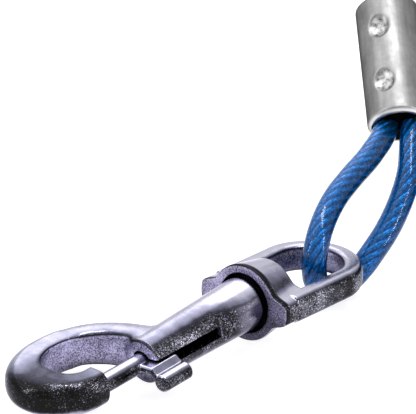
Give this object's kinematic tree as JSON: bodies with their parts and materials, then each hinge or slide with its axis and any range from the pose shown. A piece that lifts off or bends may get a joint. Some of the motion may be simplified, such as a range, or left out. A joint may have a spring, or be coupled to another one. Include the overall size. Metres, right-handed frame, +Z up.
{
  "type": "cable barrier lead with bolt snaps",
  "caption": "Coiled lead of blue vinyl-coated wire cable; each end is a crimped eye loop carrying a plated swivel bolt snap, for closing off a walkway.",
  "frame": {"origin": "on the floor under the middle of the near snap, which is measured without the cable and what hangs on it", "axes": "+X from the near hook's tip towards its swivel eye, +Y to the hook's back, +Z up from the floor"},
  "size_m": [0.3323, 0.0895, 0.0496],
  "materials": {
    "plated_zinc": "bright plated die casting with fine grain",
    "spring_steel": "drawn spring wire",
    "blue_vinyl": "glossy translucent vinyl coating",
    "wire_strand": "twisted galvanised strands",
    "crimped_aluminium": "dull crimped sleeve",
    "black_tie": "matt black strap"
  },
  "bodies": {
    "cable": {"near_ferrule": "crimped_aluminium", "near_loop_jacket": "blue_vinyl", "near_loop_core": "wire_strand", "cable_lead": "blue_vinyl", "cable_coil": "blue_vinyl", "coil_tie": "black_tie", "cable_tail": "blue_vinyl", "far_ferrule": "crimped_aluminium", "far_loop_jacket": "blue_vinyl", "far_loop_core": "wire_strand"},
    "near_eye": {"near_swivel_eye": "plated_zinc"},
    "near_snap": {"near_snap_body": "plated_zinc", "near_bolt_spring": "spring_steel"},
    "near_bolt_body": {"near_bolt": "plated_zinc"},
    "far_eye": {"far_swivel_eye": "plated_zinc"},
    "far_snap": {"far_snap_body": "plated_zinc", "far_bolt_spring": "spring_steel"},
    "far_bolt_body": {"far_bolt": "plated_zinc"}
  },
  "joints": [
    {"name": "near_loop_swing", "type": "hinge", "parent": "cable", "child": "near_eye", "pos_m": [0.0381, -0.00272, 0.00844], "axis": [-0.0469, 0.9986, -0.0228], "range_deg": [-40, 60]},
    {"name": "near_swivel", "type": "hinge", "parent": "near_eye", "child": "near_snap", "pos_m": [0.01112, -0.00403, 0.0088], "axis": [0.9936, 0, 0.1132], "continuous": true},
    {"name": "near_bolt_slide", "type": "slide", "parent": "near_snap", "child": "near_bolt_body", "axis": [0.9936, 0, 0.1132], "range_m": [0, 0.011], "stiffness_N_per_m": 300, "springref_m": -0.01, "deforming": ["near_bolt_spring"]},
    {"name": "far_loop_swing", "type": "hinge", "parent": "cable", "child": "far_eye", "pos_m": [0.21421, 0.02234, 0.01034], "axis": [0, 0, 1], "range_deg": [-55, 55]},
    {"name": "far_swivel", "type": "hinge", "parent": "far_eye", "child": "far_snap", "pos_m": [0.24122, 0.02234, 0.01048], "axis": [-0.9889, 0, 0.1487], "continuous": true},
    {"name": "far_bolt_slide", "type": "slide", "parent": "far_snap", "child": "far_bolt_body", "axis": [-0.9889, 0, 0.1487], "range_m": [0, 0.011], "stiffness_N_per_m": 300, "springref_m": -0.01, "deforming": ["far_bolt_spring"]}
  ]
}
